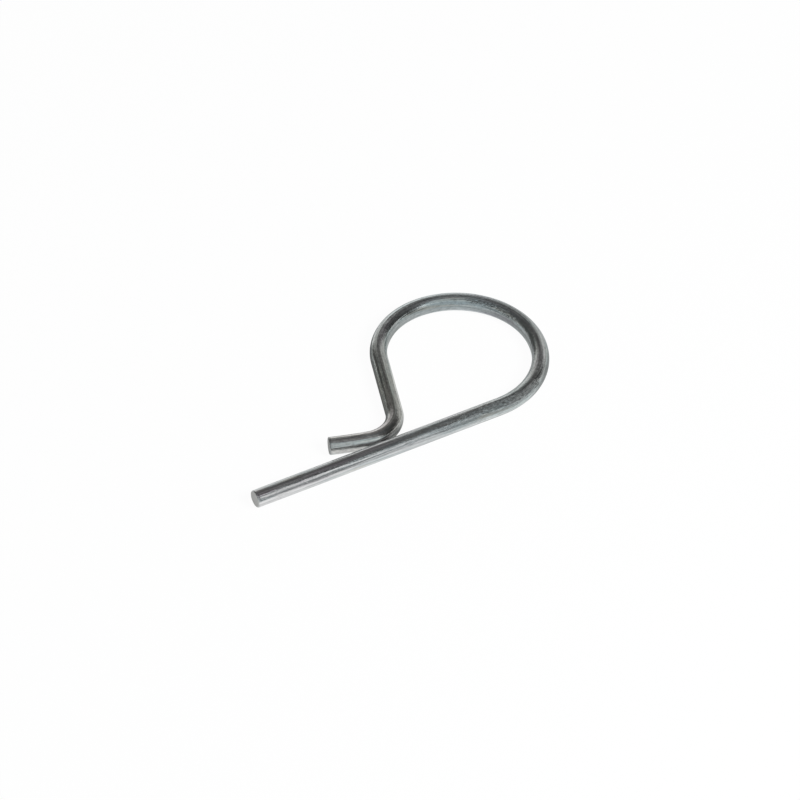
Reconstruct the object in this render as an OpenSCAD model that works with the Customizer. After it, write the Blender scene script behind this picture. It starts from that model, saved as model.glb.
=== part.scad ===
// Spring cotter pin (R-clip): one length of round wire, bent in a single plane.
// The straight leg goes through the cross hole of a shaft. The sprung arm, which is
// the loop, the neck and the bend, closes on the outside of the shaft. The flared
// tail leads the shaft in between the bend and the leg.
// Millimetres, +Z up. The clip lies flat on z = 0 with its leg along X and the leg's
// tip at -X, and the origin is the centre of its footprint.

/* [Wire] */
// Diameter of the round wire
wire_d = 5; // [2.5:0.1:7]
// Depth of the 45 degree chamfer round each cut end
end_chamfer = 0.35; // [0.1:0.05:0.9]

/* [Leg] */
// Straight length of the leg, from its tip to the start of the loop
leg_len = 76.5; // [50:0.5:150]

/* [Loop] */
// Centreline radius of the loop's first half turn, which the leg runs into
loop_r = 23; // [18:0.1:40]
// Centreline radius of the tighter shoulder, which closes the loop and runs into the neck
shoulder_r = 21.1; // [15:0.1:26]
// Angle that the shoulder turns through, past the loop's half turn, in degrees
shoulder_turn = 71.5; // [55:0.5:84]

/* [Arm] */
// Clear gap between the bend and the leg, when the clip is relaxed
neck_gap = 0.85; // [0.3:0.05:3]
// Centreline radius of the tight bend at the leg
bend_r = 8; // [4:0.1:12]
// Angle between the tail and the leg where the tail leaves the bend, in degrees
tail_flare = 5; // [0:1:30]
// Centreline length of the tail, from the bend to its cut end
tail_len = 14.2; // [4:0.1:25]
// Centreline radius of the tail's slight curve away from the leg
tail_r = 71.5; // [30:0.5:200]

/* [Hidden] */
$fn = 96;
half_turn = 180;
wire_r = wire_d / 2;

// A bend is drawn from both of its ends, as two pieces that overlap in the middle, so
// that both ends meet their neighbours exactly. This is each piece's share of the bend.
piece_share = 0.6;
// Bending stretches the wire, so its radius is less by this much past each bend's middle
bend_thinning = 0.002;

// The leg starts at the tip's chamfer, and the tail stops short by its own
leg_straight = leg_len - end_chamfer;
tail_turn = (tail_len - end_chamfer) / tail_r * 180 / PI;

// Unit vector to the right of a heading, which is measured anticlockwise from +X
function right_of(heading) = [sin(heading), -cos(heading)];

// Centreline heights over the loop's centre. The neck is as long as it has to be for
// the bend's lowest point to clear the leg by the gap.
neck_heading = half_turn + shoulder_turn;
neck_start_y = loop_r - shoulder_r + shoulder_r * right_of(neck_heading).y;
bend_centre_y = -loop_r + wire_d + neck_gap + bend_r;
neck_end_y = bend_centre_y - bend_r * right_of(neck_heading).y;
neck_len = (neck_start_y - neck_end_y) / -sin(neck_heading);

// The tip of the leg. The footprint reaches from there to the loop's far side, and as
// far to either side as the loop does.
tip_x = -(leg_len + loop_r + wire_r) / 2;

// A straight run of wire along +X. What follows starts at its end.
module straight(length) {
    rotate([0, 90, 0]) cylinder(h = length, r = $section_r);
    translate([length, 0, 0]) children();
}

// A chamfered end, cut square, that points along +X
module cut_end() {
    rotate([0, 90, 0]) cylinder(h = end_chamfer, r1 = $section_r, r2 = $section_r - end_chamfer);
}

// An arc of wire round Z, from an angle of start. A negative turn draws it clockwise.
module arc(radius, start, turn) {
    rotate_extrude(angle = turn, start = start) translate([radius, 0]) circle(r = $section_r);
}

// A half turn to the left from +X. What follows starts at its end.
module u_turn(radius) {
    translate([0, radius, 0]) arc(radius, -90, half_turn);
    translate([0, 2 * radius, 0]) rotate([0, 0, half_turn]) children();
}

// A bend of less than a half turn from +X, to the left for a positive turn or to the
// right for a negative one. What follows starts at its end.
module bend(radius, turn) {
    side = sign(turn);
    translate([0, side * radius, 0]) {
        arc(radius, -90 * side, turn * piece_share);
        let ($section_r = $section_r - bend_thinning) rotate([0, 0, turn]) {
            arc(radius, -90 * side, -turn * piece_share);
            translate([0, -side * radius, 0]) children();
        }
    }
}

// The whole wire, walked from the leg's tip to the tail's end
module clip() {
    $section_r = wire_r;
    color("silver") translate([tip_x + end_chamfer, -loop_r, wire_r]) {
        mirror([1, 0, 0]) cut_end();
        straight(leg_straight)
        u_turn(loop_r)
        bend(shoulder_r, shoulder_turn)
        straight(neck_len)
        bend(bend_r, -(shoulder_turn + tail_flare))
        bend(tail_r, -tail_turn)
        cut_end();
    }
}

clip();
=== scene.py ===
# %% [markdown]
# # A spring cotter pin
#
# The real object is one length of drawn spring steel wire. It is bent cold round
# pegs, all in one plane, and then zinc plated in a barrel with thousands of others.
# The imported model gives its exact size, and this notebook gives it its surface.
# Everything is in metres.

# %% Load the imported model
import math

import bmesh
import bpy
import numpy as np
from mathutils import Matrix, Vector


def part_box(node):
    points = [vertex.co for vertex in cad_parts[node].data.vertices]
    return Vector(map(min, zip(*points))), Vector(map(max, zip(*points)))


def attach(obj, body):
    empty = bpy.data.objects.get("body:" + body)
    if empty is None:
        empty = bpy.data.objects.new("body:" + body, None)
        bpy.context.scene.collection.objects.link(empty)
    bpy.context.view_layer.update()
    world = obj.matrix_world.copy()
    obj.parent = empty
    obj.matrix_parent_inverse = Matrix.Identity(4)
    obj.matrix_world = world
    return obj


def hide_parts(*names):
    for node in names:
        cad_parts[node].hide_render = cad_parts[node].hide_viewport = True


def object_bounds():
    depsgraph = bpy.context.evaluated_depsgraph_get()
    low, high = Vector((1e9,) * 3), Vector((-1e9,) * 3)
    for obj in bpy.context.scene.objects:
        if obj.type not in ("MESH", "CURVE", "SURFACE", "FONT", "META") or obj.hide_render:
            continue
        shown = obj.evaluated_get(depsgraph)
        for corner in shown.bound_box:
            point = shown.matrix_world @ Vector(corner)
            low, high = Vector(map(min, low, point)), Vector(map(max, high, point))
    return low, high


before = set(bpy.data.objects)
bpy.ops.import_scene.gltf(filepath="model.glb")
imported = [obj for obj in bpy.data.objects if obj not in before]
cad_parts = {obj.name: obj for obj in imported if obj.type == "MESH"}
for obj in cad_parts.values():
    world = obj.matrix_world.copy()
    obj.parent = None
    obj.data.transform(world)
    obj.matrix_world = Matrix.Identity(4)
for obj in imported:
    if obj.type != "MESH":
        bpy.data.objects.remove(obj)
cad_low, cad_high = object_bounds()
print("packed model", [round(v * 1000, 2) for v in cad_high - cad_low], "mm")

# %% [markdown]
# ## The wire's route
#
# The wire could be traced with a curve, but a curve hides its own sections. Here the
# route is a list of runs, each a straight length or an arc with one radius, the way
# a wire bender is set up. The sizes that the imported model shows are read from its
# box, and the shoulder keeps the radius that the part was drawn with.
#
# The arm is the one place that differs. A real clip springs shut, so its bend rests
# by the leg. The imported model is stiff, and holds the bend 0.7 mm farther off, so
# that a hole can pass along the leg. Here the arm is set as the real clip rests.

# %% Sizes of the wire and of its bends
clip_low, clip_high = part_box("clip")
clip_size = clip_high - clip_low
wire_r = clip_size.z / 2
loop_r = clip_size.y / 2 - wire_r
leg_len = clip_size.x - loop_r - wire_r
shoulder_r = 0.0211
shoulder_turn = math.radians(71.5)
neck_gap = 0.00015
bend_r = 0.0097
tail_flare = math.radians(14)
tail_len = 0.0112
tail_r = 0.110

neck_heading = math.pi + shoulder_turn
neck_start_y = loop_r - shoulder_r - shoulder_r * math.cos(neck_heading)
neck_end_y = -loop_r + 2 * wire_r + neck_gap + bend_r + bend_r * math.cos(neck_heading)
neck_len = (neck_start_y - neck_end_y) / -math.sin(neck_heading)
print("wire", wire_r * 2000, "mm, loop", loop_r * 1000, "mm, neck", round(neck_len * 1000, 2), "mm")


# %% The route as a list of runs
def run(name, length, turn=0.0):
    """A stretch of wire with its centreline length and the angle it turns through, left positive."""
    return {"name": name, "length": length, "turn": turn}


runs = [
    run("leg", leg_len),
    run("loop", loop_r * math.pi, math.pi),
    run("shoulder", shoulder_r * shoulder_turn, shoulder_turn),
    run("neck", neck_len),
    run("bend", bend_r * (shoulder_turn + tail_flare), -(shoulder_turn + tail_flare)),
    run("tail", tail_len, -tail_len / tail_r),
]

tip = Vector((clip_low.x, clip_low.y + wire_r, clip_low.z + wire_r))
place, heading, so_far = tip.copy(), 0.0, 0.0
for r in runs:
    forward = Vector((math.cos(heading), math.sin(heading), 0))
    left = Vector((-math.sin(heading), math.cos(heading), 0))
    r.update(start=place.copy(), begins=so_far, forward=forward, left=left)
    if r["turn"]:
        r["radius"] = r["length"] / r["turn"]
        r["centre"] = place + left * r["radius"]
        turned = Matrix.Rotation(r["turn"], 3, "Z") @ (place - r["centre"])
        place = r["centre"] + turned
    else:
        place = place + forward * r["length"]
    heading += r["turn"]
    so_far += r["length"]
wire_len = so_far
tail_end, tail_heading = place.copy(), heading
for r in runs:
    start_mm = [round(v * 1000, 2) for v in r["start"]]
    print(r["name"], "starts", start_mm, "mm,", round(r["length"] * 1000, 2), "mm long")
print("wire length", round(wire_len * 1000, 1), "mm")

# %% [markdown]
# ## The camera
#
# Small hardware is looked at from far off with a long lens, so the near and the far
# end of the pin keep nearly the same thickness. The camera is set up as on a tripod:
# a point to aim at, a bearing, a tilt, a slight roll, and a distance.

# %% Aim the camera
aim_point = Vector((0.0035, -0.0063, 0.0011))
view_bearing = math.radians(59.88)
view_tilt = math.radians(43.15)
view_roll = math.radians(1.06)
view_distance = 1.4363
lens_mm = 234.06

view_dir = Vector((
    math.cos(view_tilt) * math.cos(view_bearing),
    math.cos(view_tilt) * math.sin(view_bearing),
    -math.sin(view_tilt),
))
camera_data = bpy.data.cameras.new("long_lens")
camera_data.lens = lens_mm
camera_data.sensor_width = 36
camera_data.clip_start = 0.05
camera = bpy.data.objects.new("tripod", camera_data)
turned = view_dir.to_track_quat("-Z", "Y").to_matrix() @ Matrix.Rotation(view_roll, 3, "Z")
camera.matrix_world = Matrix.Translation(aim_point - view_dir * view_distance) @ turned.to_4x4()
bpy.context.scene.collection.objects.link(camera)
bpy.context.scene.camera = camera
print("camera at", [round(v, 3) for v in camera.location], "lens", lens_mm, "mm")

# %% [markdown]
# ## Helpers for nodes
#
# A node tree is easier to read when each node is made in one line. The helper takes
# the node's type, its settings, and what goes into its sockets: a plain value stays
# on the socket, and another node's output is linked.


# %% Make one node
def add_node(tree, kind, settings=None, **sockets):
    """A new node. A socket goes by its name, with _ for a space, or by s and its number."""
    n = tree.nodes.new("ShaderNode" + kind)
    for name, value in (settings or {}).items():
        setattr(n, name, value)
    for name, value in sockets.items():
        socket = n.inputs[int(name[1:])] if name[1:].isdigit() else n.inputs[name.replace("_", " ")]
        if isinstance(value, bpy.types.NodeSocket):
            tree.links.new(value, socket)
        else:
            socket.default_value = value
    return n


def math_node(tree, operation, *values, clamp=False):
    """The output of a Math node."""
    sockets = {f"s{i}": v for i, v in enumerate(values)}
    return add_node(tree, "Math", {"operation": operation, "use_clamp": clamp}, **sockets).outputs[0]


def ramp(tree, value, stops, smooth=False):
    """The colour output of a Color Ramp with stops of (position, grey or colour)."""
    n = add_node(tree, "ValToRGB", s0=value)
    n.color_ramp.interpolation = "EASE" if smooth else "LINEAR"
    marks = n.color_ramp.elements
    while len(marks) < len(stops):
        marks.new(0.5)
    for mark, (position, shade) in zip(marks, stops):
        mark.position = position
    for mark, (position, shade) in zip(marks, stops):
        mark.color = (*shade, 1) if isinstance(shade, tuple) else (shade, shade, shade, 1)
    return n.outputs[0]


def spread(tree, value, low, high, to_low=0.0, to_high=1.0):
    """value, moved smoothly from the range low to high into the range to_low to to_high."""
    settings = {"interpolation_type": "SMOOTHSTEP"}
    sockets = {"s0": value, "s1": low, "s2": high, "s3": to_low, "s4": to_high}
    return add_node(tree, "MapRange", settings, **sockets).outputs[0]


def blend_colours(tree, factor, first, second, mode="MIX"):
    """first where factor is 0 and second where it is 1."""
    n = tree.nodes.new("ShaderNodeMix")
    n.data_type, n.blend_type = "RGBA", mode
    for socket, value in zip((n.inputs[0], n.inputs[6], n.inputs[7]), (factor, first, second)):
        if isinstance(value, bpy.types.NodeSocket):
            tree.links.new(value, socket)
        else:
            socket.default_value = (*value, 1) if isinstance(value, tuple) else value
    return n.outputs[2]


print("node helpers ready")

# %% [markdown]
# ## The light tent
#
# Bright metal shows nothing but its surroundings, so the surroundings make its look.
# Small plated parts are shot in a paper tent: a pale wall in front, a low gap of
# daylight all round, a dark opening above and behind, and a white table. One could
# hang real cards round the pin, but a world is smoother and free of noise. Its
# brightness depends on the bearing and the rise of each direction. The camera itself
# sees plain white behind the object.

# %% Bearings in the tent
front_bearing = math.radians(-108)

world = bpy.data.worlds.new("light_tent")
bpy.context.scene.world = world
world.use_nodes = True
tent = world.node_tree
tent.nodes.clear()
direction = add_node(tent, "TexCoord").outputs["Generated"]
height = add_node(tent, "SeparateXYZ", s0=direction).outputs[2]
rise = math_node(tent, "MULTIPLY", math_node(tent, "ARCSINE", height), 180 / math.pi)


def toward(bearing, climb=0.0):
    """The direction from the pin along that bearing and climb."""
    flat = math.cos(climb)
    return Vector((flat * math.cos(bearing), flat * math.sin(bearing), math.sin(climb)))


def along(direction_socket, way):
    """How far a direction in the tent goes along that way, from -1 to 1."""
    settings = {"operation": "DOT_PRODUCT"}
    return add_node(tent, "VectorMath", settings, s0=direction_socket, s1=way).outputs["Value"]


ahead = along(direction, toward(front_bearing))
aside = along(direction, toward(front_bearing + math.pi / 2))
swing = math_node(tent, "MULTIPLY", math_node(tent, "ARCTAN2", aside, ahead), 180 / math.pi)
print("tent faces", round(math.degrees(front_bearing)), "degrees")


# %% Walls and gaps
def window(value, low, high, soft):
    """1 where value is between low and high, falling to 0 over soft degrees outside them."""
    up = spread(tent, value, low - soft, low)
    down = spread(tent, value, high, high + soft, 1.0, 0.0)
    return math_node(tent, "MULTIPLY", up, down)


def hang(walls, amount, shade):
    """The walls with a card of that shade hung where amount is 1."""
    return blend_colours(tent, amount, walls, shade)


rise_share = math_node(tent, "DIVIDE", rise, 90)
walls = ramp(tent, rise_share, [
    (0.0, (1.0, 1.0, 0.99)),
    (0.10, (0.92, 0.92, 0.91)),
    (0.22, (0.66, 0.66, 0.655)),
    (0.33, (0.34, 0.34, 0.335)),
    (0.43, (0.110, 0.108, 0.106)),
    (0.62, (0.068, 0.066, 0.068)),
    (0.74, (0.15, 0.148, 0.15)),
    (1.0, (0.29, 0.29, 0.295)),
])
cards = [
    # name, bearing from the front, rise, softness, shade
    ("dark side above", (48, 124), (22, 55), 8, (0.045, 0.046, 0.046)),
    ("dim side below", (84, 124), (-20, 10), 8, (0.50, 0.51, 0.505)),
    ("bright side gap", (52, 82), (-20, 9), 7, (0.68, 0.70, 0.69)),
    ("back glow", (127, 152), (6, 31), 9, (0.48, 0.485, 0.48)),
    ("back wall's dim edge", (152, 162), (6, 40), 6, (0.25, 0.255, 0.25)),
    ("far light patch", (-168, -156), (10, 28), 7, (0.42, 0.42, 0.41)),
    ("dark flag", (-149, -112), (-30, 50), 7, (0.085, 0.086, 0.083)),
    ("thin gap", (-158, -151), (34, 40), 4, (0.27, 0.27, 0.26)),
    ("dim side", (-108, -70), (4, 44), 9, (0.090, 0.093, 0.091)),
    ("low bright strip", (-124, -78), (5, 7), 2.5, (1.00, 1.00, 1.00)),
    ("wall's dim end", (-72, -50), (-4, 62), 9, (0.29, 0.31, 0.315)),
    ("front wall", (-42, 48), (-30, 68), 7, (0.48, 0.520, 0.532)),
    ("shelf under the slot", (33, 58), (-10, 17), 6, (0.25, 0.262, 0.267)),
    ("bright slot", (38, 48), (30, 45), 5, (1.00, 1.00, 1.00)),
]
for name, swings, rises, soft, shade in cards:
    amount = math_node(tent, "MULTIPLY", window(swing, *swings, soft), window(rise, *rises, soft))
    walls = hang(walls, amount, shade)
    print("hung", name)
below = spread(tent, rise, -4, -1, 1.0, 0.0)
walls = hang(walls, below, (0.45, 0.46, 0.46))
seen = add_node(tent, "LightPath").outputs["Is Camera Ray"]
shown = blend_colours(tent, seen, walls, (1.0, 1.0, 1.0))
background = add_node(tent, "Background", Color=shown, Strength=1.0).outputs[0]
tent.links.new(background, add_node(tent, "OutputWorld").inputs["Surface"])
print("tent with", len(tent.nodes), "nodes")


# %% The key lamp
def soft_lamp(name, bearing, climb, distance, size, brightness):
    """A round lamp that faces the pin. brightness is how bright a white sheet on the table gets."""
    lamp = bpy.data.lights.new(name, "AREA")
    lamp.shape = "DISK"
    lamp.size = size
    lamp.energy = brightness * math.pi ** 2 * distance ** 2 / math.sin(climb)
    way = toward(bearing, climb)
    obj = bpy.data.objects.new(name, lamp)
    obj.matrix_world = Matrix.Translation(way * distance) @ way.to_track_quat("Z", "Y").to_matrix().to_4x4()
    obj.visible_glossy = False
    bpy.context.scene.collection.objects.link(obj)
    print(name, round(lamp.energy, 2), "W")
    return obj


lamp_bearing = math.radians(-65)
soft_lamp("key_lamp", lamp_bearing, math.radians(42), distance=1.0, size=0.42, brightness=0.60)
soft_lamp("top_lamp", lamp_bearing, math.radians(85), distance=1.0, size=0.80, brightness=0.15)

# %% [markdown]
# ## The table
#
# The pin lies on a white sheet of paper. The sheet is a plain diffuse surface for
# the light, so that the pin shades it, and the camera sees it nearly white, with a
# faint shadow. What the metal mirrors is mostly painted light on it: a grey emission
# with painted pools of light, a painted glow along the foot of the wire, and painted
# shadows beside the neck and between the parts.

# %% Lay the paper
bpy.ops.object.select_all(action="DESELECT")
bpy.ops.mesh.primitive_circle_add(vertices=96, radius=1.6, fill_type="NGON", location=(0, 0, cad_low.z))
paper = bpy.context.object
paper.name = "paper_table"
bpy.ops.object.transform_apply(location=True, rotation=True, scale=True)
paper_white = bpy.data.materials.new("table_paper")
paper_white.use_nodes = True
sheet = paper_white.node_tree
sheet.nodes.clear()
lit = add_node(sheet, "BsdfDiffuse", Color=(0.86, 0.865, 0.87, 1)).outputs[0]
plain = add_node(sheet, "Emission", Color=(1, 1, 1, 1), Strength=1.0).outputs[0]
on_paper = add_node(sheet, "TexCoord").outputs["Object"]


def pool(x, y, reach):
    """1 at that place on the paper, fading to 0 over its reach."""
    gap = add_node(sheet, "VectorMath", {"operation": "DISTANCE"}, s0=on_paper, s1=(x, y, 0)).outputs["Value"]
    return spread(sheet, gap, 0.0, reach, 1.0, 0.0)


def measure(operation, first, second, output="Value"):
    """The output of a Vector Math node on the paper."""
    return add_node(sheet, "VectorMath", {"operation": operation}, s0=first, s1=second).outputs[output]


def band(value, rise_start, rise_end, fall_start, fall_end):
    """1 between rise_end and fall_start, fading to 0 at rise_start and fall_end."""
    up = spread(sheet, value, rise_start, rise_end)
    down = spread(sheet, value, fall_start, fall_end, 1.0, 0.0)
    return math_node(sheet, "MULTIPLY", up, down)


def lay(amount, shade):
    """The painted light on the paper that the metal mirrors, with another painted patch laid over it where
    amount is 1.
    """
    return blend_colours(sheet, amount, mirrored, shade)


# %% Painted light and shade on the paper, as the metal mirrors it
mirrored = (0.40, 0.415, 0.415)
# Painted pools on the paper: light in front of the leg tip and inside the loop, painted shade inside and
# right of the loop's right side, and a painted shadow between the leg and the bend.
painted_light_pools = [
    # x, y, reach, shade
    (-0.052, -0.048, 0.105, (1.0, 1.0, 1.0)),
    (0.018, 0.002, 0.018, (0.95, 0.96, 0.95)),
    (0.042, 0.003, 0.016, (0.16, 0.165, 0.165)),
    (0.054, -0.018, 0.022, (0.16, 0.165, 0.165)),
    (0.000, -0.0190, 0.010, (0.14, 0.14, 0.14)),
]
for x, y, reach, shade in painted_light_pools:
    mirrored = lay(pool(x, y, reach), shade)

# A painted glow on the paper along the foot of the loop and of the leg, as the metal sees it.
painted_glow_strength = 0.7
from_loop = measure("DISTANCE", on_paper, tuple(runs[1]["centre"]))
painted_glow_under_loop = band(from_loop, 0.0190, 0.0216, 0.0235, 0.0245)
mirrored = lay(math_node(sheet, "MULTIPLY", painted_glow_under_loop, painted_glow_strength), (0.80, 0.82, 0.82))
# A painted shade on the paper inside the loop, by the shoulder.
mirrored = lay(pool(0.0175, 0.0185, 0.009), (0.30, 0.31, 0.305))
paper_y = add_node(sheet, "SeparateXYZ", s0=on_paper).outputs[1]
painted_glow_under_leg = band(paper_y, -0.030, -0.027, -0.0235, -0.0225)
mirrored = lay(math_node(sheet, "MULTIPLY", painted_glow_under_leg, painted_glow_strength), (0.88, 0.90, 0.90))
# The paper behind the pin is painted lighter, as the metal sees it.
painted_light_far_side = spread(sheet, paper_y, 0.025, 0.090)
mirrored = lay(painted_light_far_side, (0.78, 0.78, 0.775))

# A painted shadow on the paper beside the neck, on the side away from the loop, as the metal sees it.
neck_way = Vector((math.cos(neck_heading), math.sin(neck_heading), 0))
beside = measure("SUBTRACT", on_paper, tuple(runs[3]["start"]), "Vector")
down_neck = measure("DOT_PRODUCT", beside, neck_way)
off_neck = measure("DOT_PRODUCT", beside, (neck_way.y, -neck_way.x, 0))
painted_shadow_along_neck = band(down_neck, -0.034, -0.020, 0.016, 0.026)
painted_shadow_across_neck = band(off_neck, 0.000, 0.001, 0.020, 0.060)
mirrored = lay(math_node(sheet, "MULTIPLY", painted_shadow_along_neck, painted_shadow_across_neck), (0.07, 0.07, 0.068))
print("paper has", len(painted_light_pools) + 5, "shades for the metal")

# %% Finish the paper
mirror_share, camera_share = 0.82, 0.96
# Rays from the metal see mostly this painted emission, and the rest is the paper as the lamps light it.
reflected = add_node(sheet, "Emission", Color=mirrored, Strength=1.0).outputs[0]
rays = add_node(sheet, "LightPath").outputs
to_metal = math_node(sheet, "MULTIPLY", rays["Is Glossy Ray"], mirror_share)
for_mirror = add_node(sheet, "MixShader", s0=to_metal, s1=lit, s2=reflected).outputs[0]
to_camera = math_node(sheet, "MULTIPLY", rays["Is Camera Ray"], camera_share)
both = add_node(sheet, "MixShader", s0=to_camera, s1=for_mirror, s2=plain).outputs[0]
sheet.links.new(both, add_node(sheet, "OutputMaterial").inputs["Surface"])
paper.data.materials.append(paper_white)
print("paper at height", round(cad_low.z * 1000, 3), "mm")

# %% [markdown]
# ## The wire
#
# A wire bender feeds straight wire and turns it round a peg for each bend. The mesh
# is made the same way: a ring of points starts at the leg's tip, an extrude feeds a
# straight length, and a spin turns the ring round the centre of a bend. A curve with
# a bevel would be quicker, but here each ring stays under control, which the tool
# marks need later.

# %% Feed and bend the wire
ring_points = 96
ring_pitch = 0.00024


def select_near(mesh_object, plane_point, plane_normal, reach, slack=2e-6):
    """In edit mode, selects the vertices within slack of that plane, no farther than reach from the point."""
    bm = bmesh.from_edit_mesh(mesh_object.data)
    for v in bm.verts:
        off = v.co - plane_point
        v.select = abs(off.dot(plane_normal)) < slack and off.length < reach
    bm.select_flush_mode()
    chosen = sum(v.select for v in bm.verts)
    bmesh.update_edit_mesh(mesh_object.data)
    return chosen


bpy.ops.object.select_all(action="DESELECT")
bpy.ops.mesh.primitive_circle_add(
    vertices=ring_points, radius=wire_r, fill_type="NOTHING", location=tip, rotation=(0, math.pi / 2, 0)
)
wire = bpy.context.object
wire.name = "clip_wire"
bpy.ops.object.transform_apply(location=True, rotation=True, scale=True)
bpy.ops.object.mode_set(mode="EDIT")
bpy.context.tool_settings.mesh_select_mode = (True, False, False)
bpy.ops.mesh.select_all(action="SELECT")
for r in runs:
    steps = round(r["length"] / ring_pitch)
    if r["turn"]:
        axis = (0, 0, -1) if r["turn"] > 0 else (0, 0, 1)
        bpy.ops.mesh.spin(steps=steps, angle=abs(r["turn"]), center=r["centre"], axis=axis)
    else:
        bpy.ops.mesh.extrude_region_move(TRANSFORM_OT_translate={"value": r["forward"] * r["length"]})
        bm = bmesh.from_edit_mesh(wire.data)
        fed_ring = [v for v in bm.verts if v.select]
        long_edges = [e for v in fed_ring for e in v.link_edges if abs(e.calc_length() - r["length"]) < 1e-6]
        bpy.ops.mesh.select_all(action="DESELECT")
        bpy.ops.mesh.select_mode(type="EDGE")
        for e in long_edges:
            e.select = True
        bmesh.update_edit_mesh(wire.data)
        bpy.ops.mesh.subdivide_edgering(number_cuts=steps - 1, interpolation="LINEAR")
        bpy.ops.mesh.select_all(action="DESELECT")
        bpy.ops.mesh.select_mode(type="VERT")
        select_near(wire, r["start"] + r["forward"] * r["length"], r["forward"], wire_r * 1.1)
    bm = bmesh.from_edit_mesh(wire.data)
    ring = [v.co for v in bm.verts if v.select]
    middle = sum(ring, Vector()) / len(ring)
    print(r["name"], steps, "steps, now at", [round(v * 1000, 2) for v in middle], "mm")
bpy.ops.object.mode_set(mode="OBJECT")
print("planned end", [round(v * 1000, 2) for v in tail_end], "mm")
print("rings", len(wire.data.vertices) // ring_points)

# %% [markdown]
# ## The two cut ends
#
# The wire is sheared, not sawn. The blade rolls the edge over before the wire breaks,
# so the rim is round and a little uneven. Each end is filled, its rim is beveled
# round, and the face is inset and sunk a little. The roll is wider than the ring
# spacing, so the first ring goes before it, or the roll would fold over that ring.

# %% Close and roll the ends
rim_roll = 0.00040
face_step = 0.00035
face_sink = 0.00005

tail_way = Vector((math.cos(tail_heading), math.sin(tail_heading), 0))
ends = [("leg", tip, Vector((-1, 0, 0))), ("tail", tail_end, tail_way)]
bpy.ops.object.mode_set(mode="EDIT")
for name, middle, outward in ends:
    bpy.ops.mesh.select_all(action="DESELECT")
    select_near(wire, middle - outward * ring_pitch, outward, wire_r * 1.1, slack=ring_pitch * 0.4)
    bpy.ops.mesh.dissolve_edges(use_verts=True)
    bpy.ops.mesh.select_all(action="DESELECT")
    chosen = select_near(wire, middle, outward, wire_r * 1.1)
    bpy.ops.mesh.edge_face_add()
    bpy.ops.mesh.bevel(offset=rim_roll, segments=5, affect="EDGES")
    bpy.ops.mesh.select_all(action="SELECT")
    bpy.ops.mesh.normals_make_consistent(inside=False)
    bpy.ops.mesh.select_all(action="DESELECT")
    select_near(wire, middle, outward, wire_r - rim_roll * 0.5)
    bpy.ops.mesh.select_mode(type="FACE")
    bpy.ops.mesh.inset(thickness=face_step, depth=-face_sink)
    bpy.ops.mesh.inset(thickness=face_step, depth=0)
    bpy.ops.mesh.poke()
    bpy.ops.mesh.select_mode(type="VERT")
    print(name, "end closed over", chosen, "points")
bpy.ops.mesh.select_all(action="SELECT")
bpy.ops.mesh.remove_doubles(threshold=1e-7)
bpy.ops.mesh.normals_make_consistent(inside=False)
bpy.ops.object.mode_set(mode="OBJECT")
print("wire has", len(wire.data.polygons), "faces")

# %% [markdown]
# ## Where each point lay before bending
#
# Draw lines, rub marks and plating all follow the wire round its bends. So each point
# keeps a note of where it lay on the straight wire: how far from the tip, and where
# on the section. Patterns that read this note bend with the wire and have no seam.

# %% Unbend the points
count = len(wire.data.vertices)
spots = np.empty(count * 3)
wire.data.vertices.foreach_get("co", spots)
spots = spots.reshape(-1, 3)
best_miss = np.full(count, np.inf)
fed, angle, out = np.zeros(count), np.zeros(count), np.zeros(count)
for r in runs:
    if r["turn"]:
        off = spots[:, :2] - np.array(r["centre"][:2])
        begin = math.atan2(*(r["start"] - r["centre"]).yx)
        sweep = (np.arctan2(off[:, 1], off[:, 0]) - begin) * np.sign(r["turn"])
        sweep = (sweep + 0.5) % (2 * math.pi) - 0.5
        here = sweep / abs(r["turn"])
        sideways = r["radius"] - np.hypot(off[:, 0], off[:, 1]) * np.sign(r["radius"])
    else:
        off = spots[:, :2] - np.array(r["start"][:2])
        here = off @ np.array(r["forward"][:2]) / r["length"]
        sideways = off @ np.array(r["left"][:2])
    up = spots[:, 2] - tip.z
    miss = np.maximum(np.hypot(sideways, up) - wire_r, 0) + 1e3 * np.maximum(np.abs(here - 0.5) - 0.501, 0)
    closer = miss < best_miss - 1e-9
    best_miss[closer] = miss[closer]
    fed[closer] = (r["begins"] + here * r["length"])[closer]
    angle[closer] = np.arctan2(up, sideways)[closer]
    out[closer] = np.hypot(sideways, up)[closer]
unbent = np.column_stack([fed, out * np.cos(angle), out * np.sin(angle)])
wire.data.attributes.new("unbent", "FLOAT_VECTOR", "POINT").data.foreach_set("vector", unbent.ravel())
print("unbent", round(fed.min() * 1000, 2), "to", round(fed.max() * 1000, 2), "mm")
print("worst miss", best_miss.max())

# %% [markdown]
# ## Tool marks
#
# A bending machine leaves its marks. A clamp bites the leg just before the loop, the
# peg rubs a narrow flat along the inside of the loop and the shoulder and tears it a
# little where the bend starts, and parts knock against each other in the plating
# barrel. The marks are pressed in with Displace modifiers, each held to its place by a
# vertex group. Every one goes inward, so the wire never grows past its size. For that,
# the grains that drive some of them are clamped, or their negative half would push the
# metal out.


# %% Press marks into the wire
def degrees_from(centre_angle):
    """Degrees round the wire from that angle to each point. 0 is the left side and 90 the top."""
    return np.abs((np.degrees(angle) - centre_angle + 180) % 360 - 180)


def fade(distance, full, soft):
    """1 up to full, then falling smoothly to 0 over soft."""
    t = np.clip((distance - full) / soft, 0, 1)
    return 1 - t * t * (3 - 2 * t)


def patch(middle_mm, half_mm, centre_angle, half_angle, soft_mm=2.0, soft_angle=10.0, lean=0.0):
    """Weights of a patch on the wire. lean turns it by so many degrees round for each mm along."""
    past = fed * 1000 - middle_mm
    round_it = np.abs((np.degrees(angle) - centre_angle - lean * past + 180) % 360 - 180)
    return fade(np.abs(past), half_mm, soft_mm) * fade(round_it, half_angle, soft_angle)


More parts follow.
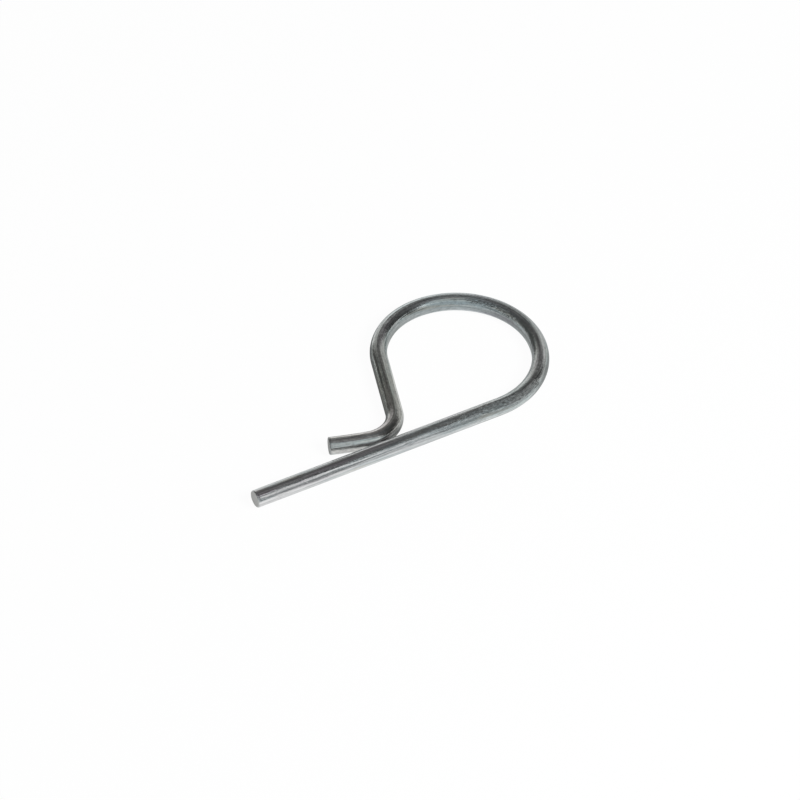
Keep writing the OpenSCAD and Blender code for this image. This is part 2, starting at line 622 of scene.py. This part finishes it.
def press(name, weights, depth, grain=None, mid_level=0.0):
    """Presses the weighted points inward, by up to depth, and applies it."""
    group = wire.vertex_groups.new(name=name)
    for i in np.flatnonzero(weights > 0.004):
        group.add([int(i)], float(min(weights[i], 1)), "REPLACE")
    press_in = wire.modifiers.new(name, "DISPLACE")
    press_in.vertex_group = name
    press_in.strength = -depth
    press_in.mid_level = mid_level
    if grain:
        press_in.texture = grain
        press_in.texture_coords = "LOCAL"
    bpy.ops.object.modifier_apply(modifier=name)
    wire.vertex_groups.remove(wire.vertex_groups[name])
    print(name, int((weights > 0.004).sum()), "points, up to", round(depth * 1000, 3), "mm deep")


def clouds(name, scale, depth=2, contrast=1.0, kind="CLOUDS"):
    """A procedural grain for a modifier, with spots of about that size."""
    grain = bpy.data.textures.new(name, kind)
    grain.noise_scale = scale
    if kind == "CLOUDS":
        grain.noise_depth = depth
    grain.contrast = contrast
    grain.use_clamp = True
    return grain


bpy.ops.object.select_all(action="DESELECT")
wire.select_set(True)
bpy.context.view_layer.objects.active = wire

peg_half_angle = 22.0
inside = degrees_from(0)
peg_half = math.radians(peg_half_angle)
flat_depth = 1 - math.cos(peg_half) / np.cos(np.minimum(np.radians(inside), peg_half))
flat_depth = flat_depth / flat_depth.max()
loop_start, loop_end = runs[1]["begins"] * 1000, runs[3]["begins"] * 1000
from_middle = np.abs(fed * 1000 - (loop_start + loop_end) / 2)
peg_flat = flat_depth * fade(from_middle, (loop_end - loop_start) / 2 - 6, 8)
press("peg_flat", peg_flat, wire_r * (1 - math.cos(peg_half)) * 0.8)

# %% Bites and tears
clamp_bite = np.maximum.reduce([
    patch(76.5, 5.0, 120, 16, 3.0, 16, lean=1.0),
    patch(84.5, 4.5, 132, 16, 2.0, 14, lean=1.0),
    0.7 * patch(68.0, 3.5, 116, 10, 3.0, 12),
])
press("clamp_bite", clamp_bite, 0.00021, clouds("bite_grain", 0.0008, 3, 2.6))

peg_tear = np.maximum.reduce([
    patch(127.0, 5.0, 52, 7, 3.0, 9, lean=-0.9),
    patch(119.5, 2.5, 43, 9, 2.0, 9),
    0.5 * patch(132.0, 2.0, 58, 4, 1.5, 6),
])
press("peg_tear", peg_tear, 0.00019, clouds("tear_grain", 0.0007, 3, 2.8))

# %% Knocks and small edges
knocks = np.maximum.reduce([
    patch(14.0, 0.8, 100, 5, 0.8, 8, lean=6),
    patch(31.0, 1.2, 66, 4, 0.8, 6, lean=-5),
    patch(47.0, 0.6, 150, 5, 0.8, 8),
    patch(57.5, 1.5, 108, 3, 1.0, 6, lean=4),
    patch(101.0, 1.0, 120, 5, 1.0, 8, lean=5),
    patch(160.0, 0.8, 95, 5, 0.8, 8),
    patch(176.0, 1.4, 60, 4, 1.0, 7, lean=-6),
    patch(188.0, 0.7, 140, 6, 0.8, 8),
    patch(212.0, 0.9, 75, 5, 0.8, 7, lean=8),
    patch(25.0, 1.0, -60, 6, 1.0, 8),
    patch(92.0, 1.2, -95, 6, 1.0, 8, lean=5),
    patch(140.0, 1.0, -120, 6, 1.0, 8),
])
press("knocks", knocks, 0.00005)
shear_lip = np.maximum(
    0.35 * patch(0.95, 0.10, 134, 18, 0.45, 14),
    0.6 * patch(wire_len * 1000 - 1.2, 0.12, 40, 26, 0.55, 20),
)
press("shear_lip", shear_lip, 0.00009)
peg_edge = np.maximum.reduce([
    patch(113.0, 8.0, 27, 0.8, 5.0, 5.0, lean=0.25),
    0.8 * patch(124.0, 6.0, 34, 0.8, 4.0, 5.0, lean=0.2),
    patch(165.0, 6.0, 24, 0.8, 5.0, 6.0, lean=0.5),
])
press("peg_edge", peg_edge, 0.00006)
everywhere = np.ones(count)
press("hand_feel", everywhere, 0.000035, clouds("straightener_wave", 0.0042, 1, 1.0))
bpy.ops.object.shade_smooth()

# %% Notes for the finish
rubbed = np.clip(np.maximum.reduce([clamp_bite, peg_tear, 0.15 * knocks]), 0, 1)
dulled = np.clip(0.9 * patch(66, 16, 118, 50, 12, 30) + 0.5 * peg_flat, 0, 1)
near_end = np.minimum(fed, wire_len - fed) < rim_roll * 0.9
cut_face = np.clip((wire_r - out) / rim_roll + 0.1, 0, 1) * near_end
for name, weights in (("rubbed", rubbed), ("dulled", dulled), ("cut_face", cut_face)):
    wire.data.attributes.new(name, "FLOAT", "POINT").data.foreach_set("value", weights)
print("the wire carries its notes")

# %% [markdown]
# ## Bright zinc
#
# Zinc from a barrel bath is a thin bright coat over drawn steel. It keeps the draw
# lines of the die under it, and it is never one tone: the clear passivation over it
# goes faintly blue, straw or violet with its thickness, scuffs are duller, and the
# torn places hold dark flecks. A metallic base with a changing roughness gives the
# coat, and bump from noise along the straight wire gives the lines. The part of the
# leg that hands and tools don't touch keeps its clean lines, and the mottling grows
# towards the loop. The passivation's tint drifts slowly from one end to the other.

# %% Read the notes
zinc = bpy.data.materials.new("bright_zinc_plate")
zinc.use_nodes = True
plate = zinc.node_tree
plate.nodes.clear()


def note(name, output="Fac"):
    """A note that the wire's points carry."""
    return add_node(plate, "Attribute", {"attribute_name": name}).outputs[output]


straight_place = note("unbent", "Vector")


def grain_noise(along_mm, across_mm, detail=2.0, rough=0.5, shift=0.0):
    """Noise in the straight wire, with spots of that length along it and that width across."""
    scale = (1000 / along_mm, 1000 / across_mm, 1000 / across_mm)
    settings = {"vector_type": "POINT"}
    moved = (shift, shift, shift)
    placed = add_node(plate, "Mapping", settings, Vector=straight_place, Location=moved, Scale=scale)
    return add_node(
        plate, "TexNoise", Vector=placed.outputs[0], Scale=1.0, Detail=detail, Roughness=rough
    ).outputs["Fac"]


# %% Grains of the coat
draw_lines = grain_noise(30, 0.17, 2.0, 0.55)
wide_lines = grain_noise(20, 0.62, 2.0, 0.55, 3.0)
coat_cloud = grain_noise(9, 3.5, 3.0, 0.6, 7.0)
coat_tint = grain_noise(22, 2.2, 2.0, 0.6, 11.0)
flecks = grain_noise(0.9, 0.32, 3.0, 0.65, 17.0)
specks = grain_noise(0.55, 0.45, 2.0, 0.6, 23.0)
scuffs = grain_noise(11.0, 0.30, 3.0, 0.6, 41.0)
mottle = grain_noise(1.1, 0.75, 3.0, 0.65, 53.0)
from_tip = add_node(plate, "SeparateXYZ", s0=straight_place).outputs[0]
handled = spread(plate, from_tip, 0.040, 0.075, 0.25, 1.0)
rub_note, dull_note, cut_note = note("rubbed"), note("dulled"), note("cut_face")

# %% Zinc colour
zinc_blue = (0.66, 0.71, 0.725)
zinc_clear = (0.74, 0.75, 0.755)
zinc_straw = (0.745, 0.735, 0.70)
zinc_violet = (0.70, 0.68, 0.715)
tints = [(0.30, zinc_violet), (0.43, zinc_clear), (0.52, zinc_clear), (0.60, zinc_blue), (0.72, zinc_straw)]
colour = ramp(plate, coat_tint, tints)
torn = math_node(plate, "MULTIPLY", rub_note, spread(plate, flecks, 0.46, 0.60), clamp=True)
colour = blend_colours(plate, torn, colour, (0.40, 0.41, 0.415))
speckled = spread(plate, specks, 0.70, 0.76, 0.0, 0.55)
colour = blend_colours(plate, speckled, colour, (0.30, 0.31, 0.31))
streaked = spread(plate, wide_lines, 0.32, 0.68, 0.84, 1.16)
streak_grey = add_node(plate, "CombineColor", s0=streaked, s1=streaked, s2=streaked).outputs[0]
colour = blend_colours(plate, 1.0, colour, streak_grey, "MULTIPLY")
scuffed = ramp(plate, scuffs, [(0.30, 0.62), (0.42, 0.96), (0.56, 1.0), (0.68, 1.12)])
colour = blend_colours(plate, 1.0, colour, scuffed, "MULTIPLY")
mottled = ramp(plate, mottle, [(0.34, 0.80), (0.50, 1.0), (0.66, 1.06)])
colour = blend_colours(plate, handled, colour, blend_colours(plate, 1.0, colour, mottled, "MULTIPLY"))
wire_share = math_node(plate, "DIVIDE", from_tip, wire_len)
passivation = ramp(plate, wire_share, [
    (0.00, (0.965, 0.945, 0.940)),
    (0.24, (0.945, 0.955, 0.955)),
    (0.36, (0.925, 0.940, 0.925)),
    (0.46, (0.970, 0.985, 0.960)),
    (0.60, (0.900, 0.945, 0.965)),
    (0.73, (0.965, 0.995, 0.980)),
    (0.84, (0.880, 0.870, 0.810)),
    (0.95, (1.020, 0.995, 0.965)),
    (0.997, (1.020, 0.995, 0.965)),
    (0.9985, (0.600, 0.600, 0.595)),
])
colour = blend_colours(plate, math_node(plate, "MULTIPLY", cut_note, 0.92), colour, (0.40, 0.41, 0.40))
colour = blend_colours(plate, 1.0, colour, passivation, "MULTIPLY")
print("zinc colour made")

# %% Zinc roughness and bump
roughness = spread(plate, coat_cloud, 0.30, 0.72, 0.10, 0.22)
for amount, note_out in ((0.08, dull_note), (0.08, rub_note), (0.22, cut_note)):
    roughness = math_node(plate, "ADD", roughness, math_node(plate, "MULTIPLY", note_out, amount))
roughness = math_node(plate, "ADD", roughness, math_node(plate, "MULTIPLY", speckled, 0.2), clamp=True)


def add_bump(tree, height_socket, distance, strength, under=None):
    """A Bump node, over the bump below it."""
    sockets = {"Height": height_socket, "Distance": distance, "Strength": strength}
    if under is not None:
        sockets["Normal"] = under
    return add_node(tree, "Bump", **sockets).outputs[0]


shallow = add_bump(plate, wide_lines, 0.000085, 1.0)
shallow = add_bump(plate, coat_cloud, 0.00006, 0.6, shallow)
shallow = add_bump(plate, draw_lines, 0.0000100, 1.0, shallow)
shallow = add_bump(plate, specks, 0.0000300, 1.0, shallow)
shallow = add_bump(plate, scuffs, 0.0000350, 1.0, shallow)
shallow = add_bump(plate, math_node(plate, "MULTIPLY", mottle, handled), 0.0000300, 1.0, shallow)
flecked = math_node(plate, "MAXIMUM", rub_note, math_node(plate, "MULTIPLY", dull_note, 0.18))
fleck_depth = math_node(plate, "MULTIPLY", flecks, flecked)
shallow = add_bump(plate, fleck_depth, 0.00030, 1.0, shallow)
cut_grain = math_node(plate, "MULTIPLY", grain_noise(0.25, 0.25, 3.0, 0.6, 31.0), cut_note)
shallow = add_bump(plate, cut_grain, 0.00001, 0.7, shallow)

shader = add_node(
    plate, "BsdfPrincipled", Base_Color=colour, Roughness=roughness, Normal=shallow, Metallic=1.0
)
plate.links.new(shader.outputs[0], add_node(plate, "OutputMaterial").inputs["Surface"])
wire.data.materials.append(zinc)
print("zinc has", len(plate.nodes), "nodes")

# %% [markdown]
# ## Hand over
#
# The wire rides on the part's only body and takes the place of the plain CAD wire.

# %% Hand over
bpy.context.scene.view_settings.view_transform = "Standard"
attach(wire, "root")
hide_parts("clip")
